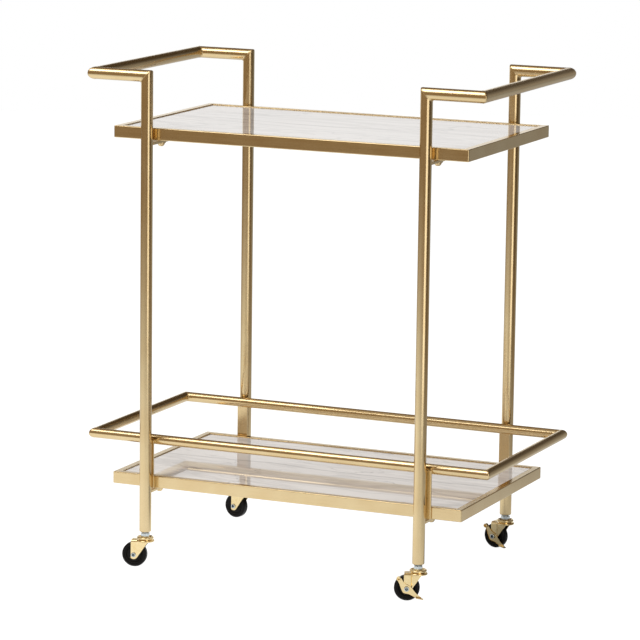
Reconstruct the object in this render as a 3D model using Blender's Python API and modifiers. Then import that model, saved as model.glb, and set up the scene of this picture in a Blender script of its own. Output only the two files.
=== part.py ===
"""Bar cart on wheels: a tube frame, two framed marble shelves, a guard rail and four swivel casters.

Metres, +Z up. The origin is on the floor, under the middle of the cart. +X runs along the
shelves towards the braked casters, and -Y is the front.
"""
import math

import bmesh
import bpy
from mathutils import Matrix, Vector

mm = 0.001

# Overall layout
upright_x = 235 * mm
upright_y = 186 * mm
foot_height = 57.5 * mm
handle_height = 784.5 * mm
grip_x = 326 * mm
touch_gap = 0.3 * mm

# Round tube of the uprights and handles, and the thinner tube of the guard rail
tube_radius = 9.5 * mm
tube_wall = 1.2 * mm
rail_tube_radius = 8 * mm
rail_tube_wall = 1.0 * mm
tube_sides = 24

# Shelves: a mitred box-section frame round a panel that sits just below its top edge
shelf_half_length = 300 * mm
shelf_half_depth = 173 * mm
top_shelf_height = 702 * mm
lower_shelf_height = 146 * mm
frame_height = 19 * mm
frame_width = 12 * mm
frame_wall = 1.2 * mm
frame_edge_radius = 1.4 * mm
panel_recess = 1.5 * mm
panel_thickness = 12 * mm
panel_clearance = 0.5 * mm
crossbar_width = 22 * mm
crossbar_thickness = 4.6 * mm

# Guard rail over the lower shelf
guard_x = 336 * mm
guard_y = 165 * mm
guard_height = 204 * mm
post_width = 18 * mm
post_thickness = 2.9 * mm
front_right_post_shift = 6 * mm

# Tabs welded to the uprights, and the bolts through them
tab_width = 16 * mm
tab_thickness = 4 * mm
tab_drop = 3 * mm
tab_reach = 60 * mm
bolt_reach = 50 * mm
bolt_radius = 3 * mm
bolt_head_radius = 5.4 * mm
washer_radius = 7 * mm
washer_thickness = 1.4 * mm
collar_radius = 6 * mm
hole_clearance = 0.3 * mm

# Casters. Each is built with its stem on the Z axis and its wheel trailing towards +X
trail = 17 * mm
wheel_radius = 20 * mm
wheel_half_width = 6.5 * mm
axle_radius = 3 * mm
running_gap = 0.1 * mm
leg_inner = 7.5 * mm
leg_outer = 9 * mm
crown_bottom = 42.6 * mm
crown_top = 44.4 * mm
crown_radius = 14.6 * mm
king_pin_radius = 3.2 * mm
cup_radius = 13.4 * mm
nut_radius = 7.5 * mm
neck_radius = 5.2 * mm
stem_radius = 4 * mm
insert_length = 16 * mm
leg_end_radius = 7 * mm
leg_heel = -6 * mm
hood_reach = 3.5 * mm
axle_head_radius = 3.9 * mm
axle_head_height = 1.8 * mm
lever_inner = 9.5 * mm
lever_outer = 11 * mm
toe_reach = 14.8 * mm
roll_radius = 3.4 * mm
wheel_sides = 24

# name, side along X, side along Y, direction the wheel trails (degrees about +Z), braked
casters = (
    ("front_left", -1, -1, 193, False),
    ("rear_left", -1, 1, 170, False),
    ("front_right", 1, -1, 201, True),
    ("rear_right", 1, 1, 168, True),
)


# Materials

def make_material(name, color, roughness, metallic):
    mat = bpy.data.materials.new(name)
    mat.use_nodes = True
    bsdf = mat.node_tree.nodes["Principled BSDF"]
    bsdf.inputs["Base Color"].default_value = (*color, 1)
    bsdf.inputs["Roughness"].default_value = roughness
    bsdf.inputs["Metallic"].default_value = metallic
    mat.diffuse_color = (*color, 1)
    return mat


def satin_brass():
    return make_material("satin_brass", (0.62, 0.43, 0.20), 0.32, 1)


def polished_marble():
    return make_material("polished_marble", (0.78, 0.76, 0.73), 0.08, 0)


def brass_plate():
    return make_material("brass_plate", (0.72, 0.50, 0.22), 0.25, 1)


def zinc_plate():
    return make_material("zinc_plate", (0.66, 0.69, 0.70), 0.22, 1)


def black_wheel():
    return make_material("black_wheel", (0.012, 0.012, 0.012), 0.4, 0)


# Scene and mesh helpers

def clear_scene():
    for obj in list(bpy.data.objects):
        bpy.data.objects.remove(obj, do_unlink=True)


def add_collection(name):
    col = bpy.data.collections.new(name)
    bpy.context.scene.collection.children.link(col)
    return col


def add_object(name, bm, collection, mat=None):
    mesh = bpy.data.meshes.new(name)
    bm.to_mesh(mesh)
    bm.free()
    obj = bpy.data.objects.new(name, mesh)
    collection.objects.link(obj)
    if mat:
        mesh.materials.append(mat)
    return obj


def boolean(obj, other, operation):
    mod = obj.modifiers.new(operation.lower(), "BOOLEAN")
    mod.operation = operation
    mod.solver = "EXACT"
    mod.object = other


def cut(obj, cutter):
    boolean(obj, cutter, "DIFFERENCE")


def join(obj, other):
    boolean(obj, other, "UNION")


def cutter_object(name, bm):
    obj = add_object(name, bm, cutters)
    obj.hide_render = True
    obj.display_type = "WIRE"
    return obj


def shade_round(obj, angle=35):
    obj.data.shade_smooth()
    obj.data.set_sharp_from_angle(angle=math.radians(angle))


def along(direction):
    """A matrix that turns +Z to the direction."""
    return Vector((0, 0, 1)).rotation_difference(Vector(direction)).to_matrix().to_4x4()


def cylinder(start, end, radius, sides=tube_sides):
    start, end = Vector(start), Vector(end)
    bm = bmesh.new()
    place = Matrix.Translation((start + end) / 2) @ along(end - start)
    bmesh.ops.create_cone(
        bm, cap_ends=True, segments=sides, radius1=radius, radius2=radius,
        depth=(end - start).length, matrix=place)
    return bm


def box(low, high, bevel=0, segments=2, edge_axis=None):
    """A box from corner to corner. edge_axis rounds only the edges along that axis."""
    low, high = Vector(low), Vector(high)
    bm = bmesh.new()
    size = high - low
    place = Matrix.Translation((low + high) / 2) @ Matrix.Diagonal((*size, 1))
    bmesh.ops.create_cube(bm, size=1, matrix=place)
    if bevel:
        edges = [e for e in bm.edges if edge_axis is None or runs_along(e, edge_axis)]
        bmesh.ops.bevel(bm, geom=edges, offset=bevel, segments=segments, affect="EDGES", profile=0.5)
    return bm


def runs_along(edge, axis):
    step = edge.verts[1].co - edge.verts[0].co
    return abs(step[axis]) > 0.99 * step.length


def trim(bm, point, outward):
    """Cut the mesh off past a plane and close the end."""
    geom = bm.verts[:] + bm.edges[:] + bm.faces[:]
    bmesh.ops.bisect_plane(bm, geom=geom, plane_co=point, plane_no=outward, clear_outer=True)
    rim = [e for e in bm.edges if e.is_boundary]
    bmesh.ops.holes_fill(bm, edges=rim)


def turned(name, profile, sides, mat, ring=False):
    """A profile of (radius, height) turned about Z, its outer side running top to bottom."""
    bm = bmesh.new()
    points = [bm.verts.new((r, 0, z)) for r, z in profile]
    ends = zip(points, points[1:] + points[:1]) if ring else zip(points, points[1:])
    for a, b in ends:
        bm.edges.new((a, b))
    obj = add_object(name, bm, cart, mat)
    mod = obj.modifiers.new("turn", "SCREW")
    mod.steps = sides
    mod.render_steps = sides
    mod.use_merge_vertices = True
    mod.merge_threshold = 0.00001
    mod.use_smooth_shade = True
    return obj


def sheet(outline, middle, thickness):
    """A flat outline in X and Z, with its thickness along Y about the middle."""
    curve = bpy.data.curves.new("sheet", "CURVE")
    curve.dimensions = "2D"
    curve.fill_mode = "BOTH"
    curve.extrude = thickness / 2
    spline = curve.splines.new("POLY")
    spline.points.add(len(outline) - 1)
    for point, (x, z) in zip(spline.points, outline):
        point.co = (x, z, 0, 1)
    spline.use_cyclic_u = True
    flat = bpy.data.objects.new("sheet", curve)
    bpy.context.scene.collection.objects.link(flat)
    evaluated = flat.evaluated_get(bpy.context.evaluated_depsgraph_get())
    bm = bmesh.new()
    bm.from_mesh(bpy.data.meshes.new_from_object(evaluated))
    bpy.data.objects.remove(flat)
    bmesh.ops.remove_doubles(bm, verts=bm.verts, dist=0.000001)
    place = Matrix.Translation((0, middle, 0)) @ Matrix.Rotation(math.pi / 2, 4, "X")
    bmesh.ops.transform(bm, matrix=place, verts=bm.verts)
    bmesh.ops.recalc_face_normals(bm, faces=bm.faces)
    return bm


def arc(center, radius, start, end, steps):
    """Points on an arc, angles in degrees."""
    points = []
    for i in range(steps + 1):
        a = math.radians(start + (end - start) * i / steps)
        points.append((center[0] + radius * math.cos(a), center[1] + radius * math.sin(a)))
    return points


# Frame of round tube

def mitre(bm, corner, own_way, next_way):
    """Cut a piece that leaves a corner one way where it meets the piece that leaves it another way."""
    outward = (Vector(next_way) - Vector(own_way)).normalized()
    trim(bm, Vector(corner) - outward * touch_gap / 2, outward)


def mitred_tube(name, start, end, radius, wall, start_next, end_next, mat):
    """A tube from corner to corner. start_next and end_next are the ways its neighbours leave."""
    start, end = Vector(start), Vector(end)
    step = (end - start).normalized()
    past = step * radius * 2
    bm = cylinder(start - past, end + past, radius)
    mitre(bm, start, step, start_next)
    mitre(bm, end, -step, end_next)
    tube = add_object(name, bm, cart, mat)
    bore = cutter_object(name + "_bore", cylinder(start - past * 2, end + past * 2, radius - wall))
    cut(tube, bore)
    shade_round(tube)
    return tube


def upright(name, sx, sy, mat):
    x, y = sx * upright_x, sy * upright_y
    bm = cylinder((x, y, foot_height), (x, y, handle_height + 2 * tube_radius), tube_radius)
    mitre(bm, (x, y, handle_height), (0, 0, -1), (sx, 0, 0))
    tube = add_object(name, bm, cart, mat)
    for shelf_height in (top_shelf_height, lower_shelf_height):
        top = shelf_height - frame_height - tab_drop
        y0, y1 = sorted((y - sy * tube_radius / 2, y - sy * tab_reach))
        tab = box((x - tab_width / 2, y0, top - tab_thickness), (x + tab_width / 2, y1, top))
        join(tube, cutter_object(name + "_tab", tab))
        bolt_y = y - sy * bolt_reach
        hole = cylinder(
            (x, bolt_y, top - 2 * tab_thickness), (x, bolt_y, top + tab_thickness),
            bolt_radius + hole_clearance, 12)
        cut(tube, cutter_object(name + "_tab_hole", hole))
    bore = cylinder(
        (x, y, foot_height + insert_length), (x, y, handle_height + 4 * tube_radius),
        tube_radius - tube_wall)
    cut(tube, cutter_object(name + "_bore", bore))
    insert = cylinder(
        (x, y, foot_height - insert_length), (x, y, foot_height + 2 * insert_length),
        stem_radius + hole_clearance, 16)
    cut(tube, cutter_object(name + "_insert", insert))
    shade_round(tube)
    return tube


def handle(side, sx, mat):
    for end, sy in (("front", -1), ("rear", 1)):
        mitred_tube(
            f"handle_arm_{end}_{side}",
            (sx * upright_x, sy * upright_y, handle_height),
            (sx * grip_x, sy * upright_y, handle_height),
            tube_radius, tube_wall, (0, 0, -1), (0, -sy, 0), mat)
    mitred_tube(
        f"handle_grip_{side}",
        (sx * grip_x, -upright_y, handle_height), (sx * grip_x, upright_y, handle_height),
        tube_radius, tube_wall, (-sx, 0, 0), (-sx, 0, 0), mat)


# Shelves

def shelf_rail(name, corner_a, corner_b, inward, mat):
    """One box-section rail between two outer corners of the shelf frame, mitred at both ends."""
    a, b = Vector(corner_a), Vector(corner_b)
    inward = Vector(inward)
    step = (b - a).normalized()
    axis = 0 if abs(step.x) > 0.5 else 1
    past = step * frame_width * 2
    down = Vector((0, 0, frame_height))
    spots = [a - past, b + past + inward * frame_width - down]
    low = [min(p[i] for p in spots) for i in range(3)]
    high = [max(p[i] for p in spots) for i in range(3)]
    bm = box(low, high, frame_edge_radius, 2, axis)
    mitre(bm, a, step, inward)
    mitre(bm, b, -step, inward)
    rail = add_object(name, bm, cart, mat)
    inset = Vector([0 if i == axis else frame_wall for i in range(3)])
    reach = Vector([2 * frame_width if i == axis else 0 for i in range(3)])
    hollow = box(Vector(low) + inset - reach, Vector(high) - inset + reach)
    cut(rail, cutter_object(name + "_hollow", hollow))
    return rail


def shelf(prefix, height, frame_mat, panel_mat):
    x, y = shelf_half_length, shelf_half_depth
    shelf_rail(prefix + "_frame_front", (-x, -y, height), (x, -y, height), (0, 1, 0), frame_mat)
    shelf_rail(prefix + "_frame_rear", (-x, y, height), (x, y, height), (0, -1, 0), frame_mat)
    shelf_rail(prefix + "_frame_left", (-x, -y, height), (-x, y, height), (1, 0, 0), frame_mat)
    shelf_rail(prefix + "_frame_right", (x, -y, height), (x, y, height), (-1, 0, 0), frame_mat)
    px = x - frame_width - panel_clearance
    py = y - frame_width - panel_clearance
    top = height - panel_recess
    under = top - panel_thickness
    panel = box((-px, -py, under), (px, py, top), 0.6 * mm, 1)
    add_object(prefix + "_panel", panel, cart, panel_mat)
    for side, sx in (("left", -1), ("right", 1)):
        bar_y = y - frame_width - touch_gap
        bar_top = under - touch_gap
        bar = box(
            (sx * upright_x - crossbar_width / 2, -bar_y, bar_top - crossbar_thickness),
            (sx * upright_x + crossbar_width / 2, bar_y, bar_top))
        crossbar = add_object(f"{prefix}_crossbar_{side}", bar, cart, frame_mat)
        for sy in (-1, 1):
            bolt_y = sy * (upright_y - bolt_reach)
            hole = cylinder(
                (sx * upright_x, bolt_y, under - 3 * crossbar_thickness),
                (sx * upright_x, bolt_y, under - crossbar_thickness / 2),
                bolt_radius + hole_clearance, 12)
            cut(crossbar, cutter_object(crossbar.name + "_hole", hole))


def bolt_profile():
    """Shank, spacer collar between crossbar and tab, washer and domed head, about Z = tab underside."""
    collar_top = tab_thickness + tab_drop + touch_gap
    shank_top = collar_top + crossbar_thickness / 2
    collar_bottom = tab_thickness + touch_gap
    washer_bottom = -touch_gap - washer_thickness
    profile = [(0, shank_top), (bolt_radius, shank_top), (bolt_radius, collar_top)]
    profile += [(collar_radius, collar_top), (collar_radius, collar_bottom), (bolt_radius, collar_bottom)]
    profile += [(bolt_radius, -touch_gap), (washer_radius, -touch_gap), (washer_radius, washer_bottom)]
    profile += [(bolt_head_radius, washer_bottom)]
    profile += arc((0, washer_bottom - 1.5 * mm), bolt_head_radius, 0, -90, 4)
    return profile


def shelf_bolts(prefix, height, mat):
    underside = height - frame_height - tab_drop - tab_thickness
    for side, sx in (("left", -1), ("right", 1)):
        for end, sy in (("front", -1), ("rear", 1)):
            bolt = turned(f"{prefix}_bolt_{end}_{side}", bolt_profile(), 12, mat)
            bolt.location = (sx * upright_x, sy * (upright_y - bolt_reach), underside)


# Guard rail

def guard_rail(mat):
    x, y, z = guard_x, guard_y, guard_height
    for end, sy in (("front", -1), ("rear", 1)):
        mitred_tube(
            "guard_rail_" + end, (-x, sy * y, z), (x, sy * y, z),
            rail_tube_radius, rail_tube_wall, (0, -sy, 0), (0, -sy, 0), mat)
    for side, sx in (("left", -1), ("right", 1)):
        mitred_tube(
            "guard_rail_" + side, (sx * x, -y, z), (sx * x, y, z),
            rail_tube_radius, rail_tube_wall, (-sx, 0, 0), (-sx, 0, 0), mat)


def guard_post(name, sx, sy, mat):
    """A flat plate between the shelf frame and the upright, up to the middle of the guard rail."""
    shift = front_right_post_shift if name.endswith("front_right") else 0
    x = sx * upright_x + shift
    inner_face = shelf_half_depth + touch_gap
    y0, y1 = sorted((sy * inner_face, sy * (inner_face + post_thickness)))
    bm = box(
        (x - post_width / 2, y0, lower_shelf_height - frame_height),
        (x + post_width / 2, y1, guard_height), 0.4 * mm, 1)
    return add_object(name, bm, cart, mat)


# Casters

def caster_empty(name, x, y, angle):
    empty = bpy.data.objects.new(name, None)
    cart.objects.link(empty)
    empty.location = (x, y, 0)
    empty.rotation_euler = (0, 0, math.radians(angle))
    return empty


def stem(name, mat):
    """Threaded stem, hex nut, raceway cup and king pin, as one turned and milled piece."""
    cup_bottom = crown_top + touch_gap
    pin_head_top = crown_bottom - touch_gap
    nut_bottom = cup_bottom + 3.9 * mm
    profile = [
        (0, foot_height + insert_length - 2 * mm),
        (stem_radius, foot_height + insert_length - 2 * mm),
        (stem_radius, foot_height - 2 * mm),
        (neck_radius, foot_height - 2 * mm),
        (neck_radius, nut_bottom),
        (nut_radius + 1.5 * mm, nut_bottom),
        (cup_radius, cup_bottom + 2 * mm),
        (cup_radius, cup_bottom),
        (king_pin_radius, cup_bottom),
        (king_pin_radius, pin_head_top),
        (5 * mm, pin_head_top),
        (4 * mm, pin_head_top - 1.6 * mm),
        (0, pin_head_top - 1.6 * mm),
    ]
    obj = turned(name, profile, 20, mat)
    nut = cylinder((0, 0, nut_bottom - 0.4 * mm), (0, 0, foot_height - 1 * mm), nut_radius, 6)
    join(obj, cutter_object(name + "_nut", nut))
    return obj


def leg_outline():
    """A fork leg: a round end about the axle, widening up to the crown."""
    lower = arc((trail, wheel_radius), leg_end_radius, 8, -148, 7)
    top = crown_top - 0.5 * mm
    return lower + [(leg_heel, crown_bottom - 1.2 * mm), (leg_heel, top), (trail + hood_reach, top)]


def fork(name, mat):
    """Crown disc round the king pin, a hood over the wheel, and two legs."""
    crown = cylinder((0, 0, crown_bottom), (0, 0, crown_top), crown_radius, 28)
    obj = add_object(name, crown, cart, mat)
    hood_half = leg_outer - 0.4 * mm
    hood = box(
        (0, -hood_half, crown_bottom + 0.1 * mm),
        (trail + hood_reach + 0.4 * mm, hood_half, crown_top - 0.3 * mm))
    join(obj, cutter_object(name + "_hood", hood))
    for side, sy in (("near", 1), ("far", -1)):
        leg = sheet(leg_outline(), sy * (leg_inner + leg_outer) / 2, leg_outer - leg_inner)
        join(obj, cutter_object(f"{name}_{side}_leg", leg))
    pin_hole = cylinder(
        (0, 0, crown_bottom - 5 * mm), (0, 0, crown_top + 5 * mm), king_pin_radius + running_gap, 20)
    cut(obj, cutter_object(name + "_pin_hole", pin_hole))
    axle_hole = cylinder(
        (trail, -2 * leg_outer, wheel_radius), (trail, 2 * leg_outer, wheel_radius),
        axle_radius + hole_clearance, 16)
    cut(obj, cutter_object(name + "_axle_hole", axle_hole))
    return obj


def axle(name, braked, mat):
    """A hollow rivet: shank through both legs, a head outside each, with a socket in the near one."""
    near = (lever_outer if braked else leg_outer) + touch_gap
    far = -leg_outer - touch_gap
    head = axle_head_radius
    depth = axle_head_height
    profile = [
        (0, near + depth - 1.2 * mm), (2 * mm, near + depth - 1.2 * mm), (2.2 * mm, near + depth),
        (head - 0.6 * mm, near + depth), (head, near + depth - 0.6 * mm), (head, near),
        (axle_radius, near), (axle_radius, far), (head, far), (head, far - depth), (0, far - depth),
    ]
    obj = turned(name, profile, wheel_sides, mat)
    obj.location = (trail, 0, wheel_radius)
    obj.rotation_euler = (-math.pi / 2, 0, 0)
    return obj


def wheel(name, mat):
    """A solid wheel with a rounded tread, a dished side and a hub, standing on a flat of its tread."""
    rim = wheel_radius / math.cos(math.pi / wheel_sides)
    half = wheel_half_width
    shoulder = arc((rim - 3.6 * mm, half - 3.6 * mm), 3.6 * mm, 90, 0, 3)
    upper = [(axle_radius + running_gap, half), (6 * mm, half), (7.5 * mm, half - 1 * mm)]
    upper += [(12 * mm, half - 1 * mm), (12.6 * mm, half - 0.2 * mm)] + shoulder
    lower = [(r, -z) for r, z in reversed(upper)]
    obj = turned(name, upper + lower, wheel_sides, mat, ring=True)
    obj.location = (trail, 0, wheel_radius)
    turn = Matrix.Rotation(-math.pi / 2, 4, "X") @ Matrix.Rotation(math.pi / wheel_sides, 4, "Z")
    obj.rotation_euler = turn.to_euler()
    return obj


def brake_lever(name, mat):
    """A stamped lever on the axle, with a rolled toe above the wheel and a flat toe low behind it."""
    plate = [
        (-23 * mm, -13.5 * mm), (-20.5 * mm, -15.8 * mm), (-14 * mm, -13.6 * mm), (-4 * mm, -7.4 * mm),
        (3.5 * mm, -6.4 * mm), (7 * mm, -2 * mm), (10.5 * mm, 7 * mm), (15 * mm, 17 * mm),
        (12.6 * mm, 19.6 * mm), (9 * mm, 19 * mm), (1 * mm, 7.6 * mm), (-6 * mm, 3 * mm),
        (-15 * mm, -7.5 * mm),
    ]
    bm = sheet(plate, (lever_inner + lever_outer) / 2, lever_outer - lever_inner)
    obj = add_object(name, bm, cart, mat)
    obj.location = (trail, 0, wheel_radius)
    inside = lever_inner + 0.1 * mm
    pedal = box((-6 * mm, inside, -0.8 * mm), (6 * mm, toe_reach, 0.8 * mm))
    tilt = Matrix.Translation((-20 * mm, 0, -14.2 * mm)) @ Matrix.Rotation(math.radians(-10), 4, "Y")
    bmesh.ops.transform(pedal, matrix=tilt, verts=pedal.verts)
    roll = cylinder((12.4 * mm, inside, 16.6 * mm), (12.4 * mm, toe_reach, 16.6 * mm), roll_radius, 12)
    hole = cylinder(
        (0, lever_inner - 5 * mm, 0), (0, lever_outer + 5 * mm, 0), axle_radius + running_gap, wheel_sides)
    for label, bm in (("_pedal", pedal), ("_roll", roll)):
        piece = cutter_object(name + label, bm)
        piece.parent = obj
        join(obj, piece)
    drill = cutter_object(name + "_hole", hole)
    drill.parent = obj
    cut(obj, drill)
    return obj


def caster(name, sx, sy, angle, braked, mats):
    brass, zinc, black = mats
    pivot = caster_empty("caster_pivot_" + name, sx * upright_x, sy * upright_y, angle)
    pieces = [
        stem("caster_stem_" + name, zinc),
        fork("caster_fork_" + name, brass),
        axle("caster_axle_" + name, braked, zinc),
        wheel("caster_wheel_" + name, black),
    ]
    if braked:
        pieces.append(brake_lever("brake_lever_" + name, brass))
    for piece in pieces:
        piece.parent = pivot
        for mod in piece.modifiers:
            if mod.type == "BOOLEAN" and mod.object.parent is None:
                mod.object.parent = pivot


clear_scene()
cart = add_collection("bar_cart")
cutters = add_collection("cutters")

brass = satin_brass()
for name, sx, sy, angle, braked in casters:
    upright("upright_" + name, sx, sy, brass)
    guard_post("guard_post_" + name, sx, sy, brass)
for side, sx in (("left", -1), ("right", 1)):
    handle(side, sx, brass)
marble = polished_marble()
for prefix, height in (("top", top_shelf_height), ("lower", lower_shelf_height)):
    shelf(prefix, height, brass, marble)
    shelf_bolts(prefix, height, brass)
guard_rail(brass)

caster_mats = (brass_plate(), zinc_plate(), black_wheel())
for name, sx, sy, angle, braked in casters:
    caster(name, sx, sy, angle, braked, caster_mats)
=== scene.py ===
import math

import bmesh
import bpy
from mathutils import Matrix, Vector


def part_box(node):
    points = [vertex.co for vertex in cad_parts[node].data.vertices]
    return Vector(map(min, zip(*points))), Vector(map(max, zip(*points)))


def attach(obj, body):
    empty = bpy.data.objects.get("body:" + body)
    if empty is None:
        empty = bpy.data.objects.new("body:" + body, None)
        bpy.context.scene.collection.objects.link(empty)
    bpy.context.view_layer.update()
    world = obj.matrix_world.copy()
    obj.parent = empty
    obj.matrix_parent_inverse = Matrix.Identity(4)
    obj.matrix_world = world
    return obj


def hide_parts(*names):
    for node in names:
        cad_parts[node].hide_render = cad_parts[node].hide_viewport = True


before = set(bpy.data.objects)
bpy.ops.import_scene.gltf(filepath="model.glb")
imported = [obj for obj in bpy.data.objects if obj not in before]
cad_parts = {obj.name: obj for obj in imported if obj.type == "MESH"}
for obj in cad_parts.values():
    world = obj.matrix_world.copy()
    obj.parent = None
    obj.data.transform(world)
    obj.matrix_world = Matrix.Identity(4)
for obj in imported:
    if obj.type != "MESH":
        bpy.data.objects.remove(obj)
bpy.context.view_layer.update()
mm = 0.001
ends = (("front", -1), ("rear", 1))
sides = (("left", -1), ("right", 1))
corners = [(end + "_" + side, sx, sy) for end, sy in ends for side, sx in sides]
print("frame loaded")


def middle(node):
    low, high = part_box(node)
    return (low + high) / 2


# Nodes and colours

def linear(hexColour):
    channels = [int(hexColour[i:i + 2], 16) / 255 for i in (0, 2, 4)]
    return tuple(c / 12.92 if c <= 0.04045 else ((c + 0.055) / 1.055) ** 2.4 for c in channels) + (1,)


def addNode(tree, kind, settings=None, values=None, links=None):
    # settings are the node's own, values and links go to its inputs
    node = tree.nodes.new(kind)
    for name, value in (settings or {}).items():
        setattr(node, name, value)
    for socket, value in (values or {}).items():
        node.inputs[socket].default_value = value
    for socket, source in (links or {}).items():
        tree.links.new(source, node.inputs[socket])
    return node


def newMaterial(name):
    material = bpy.data.materials.new(name)
    material.use_nodes = True
    material.node_tree.nodes.clear()
    return material, material.node_tree


noiseRange = {"From Min": 0.3, "From Max": 0.7}   # where nearly all of a noise texture's values lie


def tintAndSheen(tree, look, tintNoise, sheenNoise):
    # one noise runs the colour from shade to colour, and the other the roughness between its two ends
    amount = addNode(
        tree, "ShaderNodeMapRange", None, {**noiseRange, "To Min": 0, "To Max": 1},
        {"Value": tintNoise.outputs["Fac"]})
    tint = addNode(
        tree, "ShaderNodeMix", {"data_type": "RGBA"},
        {"A": linear(look["shade"]), "B": linear(look["colour"])}, {"Factor": amount.outputs["Result"]})
    smooth, rough = look["roughness"]
    sheen = addNode(
        tree, "ShaderNodeMapRange", None, {**noiseRange, "To Min": smooth, "To Max": rough},
        {"Value": sheenNoise.outputs["Fac"]})
    return {"Base Color": tint.outputs["Result"], "Roughness": sheen.outputs["Result"]}


# Materials

satinBrassLook = {
    "colour": "e4cea1", "shade": "dec596",
    "roughness": (0.17, 0.22),
    "lineSpacing": 1.4 * mm, "lineLength": 60 * mm,   # real lines are 0.1 mm apart; drawn wider to show
    "lineDepth": 0.012 * mm, "lineStrength": 0.12,
    "cloud": 45 * mm,
}


def satinBrass(grain):
    # Lacquered brass plate over steel, linished along the piece: soft, stretched reflections
    # that darken to olive brown where nothing bright is mirrored. grain is the way the lines run.
    look = satinBrassLook
    material, tree = newMaterial("satinBrassAlong" + "XYZ"[grain])
    across, lengthwise = 1 / look["lineSpacing"], 1 / look["lineLength"]
    lineScale = [lengthwise if i == grain else across for i in range(3)]
    place = addNode(tree, "ShaderNodeTexCoord")
    stretch = addNode(
        tree, "ShaderNodeMapping", None, {"Scale": lineScale}, {"Vector": place.outputs["Object"]})
    lines = addNode(
        tree, "ShaderNodeTexNoise", None, {"Scale": 1.0, "Detail": 3.0},
        {"Vector": stretch.outputs["Vector"]})
    cloud = addNode(
        tree, "ShaderNodeTexNoise", None, {"Scale": 1 / look["cloud"], "Detail": 2.0},
        {"Vector": place.outputs["Object"]})
    bump = addNode(
        tree, "ShaderNodeBump", None, {"Strength": look["lineStrength"], "Distance": look["lineDepth"]},
        {"Height": lines.outputs["Fac"]})
    shader = addNode(
        tree, "ShaderNodeBsdfPrincipled", None, {"Metallic": 1.0},
        {**tintAndSheen(tree, look, cloud, lines), "Normal": bump.outputs["Normal"]})
    addNode(tree, "ShaderNodeOutputMaterial", None, None, {"Surface": shader.outputs["BSDF"]})
    return material


brassPlateLook = {
    "colour": "f8e3b2", "shade": "f0d79e", "roughness": (0.11, 0.16),
    "ripple": 5 * mm, "rippleDepth": 0.05 * mm, "rippleStrength": 0.15,
}


def brassPlate():
    # Bright brass plate on pressed steel: yellower and glossier than the frame, with the faint
    # orange peel of stamped sheet.
    look = brassPlateLook
    material, tree = newMaterial("pressedBrassPlate")
    place = addNode(tree, "ShaderNodeTexCoord")
    ripple = addNode(
        tree, "ShaderNodeTexNoise", None, {"Scale": 1 / look["ripple"], "Detail": 3.0},
        {"Vector": place.outputs["Object"]})
    bump = addNode(
        tree, "ShaderNodeBump", None, {"Strength": look["rippleStrength"], "Distance": look["rippleDepth"]},
        {"Height": ripple.outputs["Fac"]})
    shader = addNode(
        tree, "ShaderNodeBsdfPrincipled", None, {"Metallic": 1.0},
        {**tintAndSheen(tree, look, ripple, ripple), "Normal": bump.outputs["Normal"]})
    addNode(tree, "ShaderNodeOutputMaterial", None, None, {"Surface": shader.outputs["BSDF"]})
    return material


zincLook = {"colour": "dfe7e9", "shade": "b9c4c8", "roughness": (0.16, 0.30), "mottle": 1.5 * mm}


def zincPlate():
    # Clear-passivated zinc on turned steel: cold, pale and slightly mottled.
    look = zincLook
    material, tree = newMaterial("clearZincPlate")
    place = addNode(tree, "ShaderNodeTexCoord")
    mottle = addNode(
        tree, "ShaderNodeTexNoise", None, {"Scale": 1 / look["mottle"], "Detail": 2.0},
        {"Vector": place.outputs["Object"]})
    shader = addNode(
        tree, "ShaderNodeBsdfPrincipled", None, {"Metallic": 1.0},
        tintAndSheen(tree, look, mottle, mottle))
    addNode(tree, "ShaderNodeOutputMaterial", None, None, {"Surface": shader.outputs["BSDF"]})
    return material


nylonLook = {
    "colour": "0f0d0c", "shade": "080706", "roughness": (0.30, 0.42), "specular": 0.15,
    "grain": 0.9 * mm, "grainDepth": 0.03 * mm, "grainStrength": 0.35,
}


def blackNylon():
    # Moulded black nylon wheel: satin and nearly black, with the faint grain of its mould.
    look = nylonLook
    material, tree = newMaterial("mouldedBlackNylon")
    place = addNode(tree, "ShaderNodeTexCoord")
    grain = addNode(
        tree, "ShaderNodeTexNoise", None, {"Scale": 1 / look["grain"], "Detail": 4.0},
        {"Vector": place.outputs["Object"]})
    bump = addNode(
        tree, "ShaderNodeBump", None, {"Strength": look["grainStrength"], "Distance": look["grainDepth"]},
        {"Height": grain.outputs["Fac"]})
    shader = addNode(
        tree, "ShaderNodeBsdfPrincipled", None, {"IOR": 1.53, "Specular IOR Level": look["specular"]},
        {**tintAndSheen(tree, look, grain, grain), "Normal": bump.outputs["Normal"]})
    addNode(tree, "ShaderNodeOutputMaterial", None, None, {"Surface": shader.outputs["BSDF"]})
    return material


marbleLook = {
    "ground": "e9e3dd", "cloud": "e0d8d1", "vein": "a39c97", "line": "7d756f",
    "roughness": 0.02, "turn": math.radians(4),
    "cloudSize": (420 * mm, 110 * mm), "veinSize": (300 * mm, 60 * mm), "lineSize": (520 * mm, 150 * mm),
    "veinWidth": 0.07, "lineWidth": 0.009,   # in noise values
    "veinAmount": 0.28, "lineAmount": 0.55,
    "longVein": {"wander": 60 * mm, "wave": 4.5, "width": 5 * mm, "amount": 0.4},
}


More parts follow.
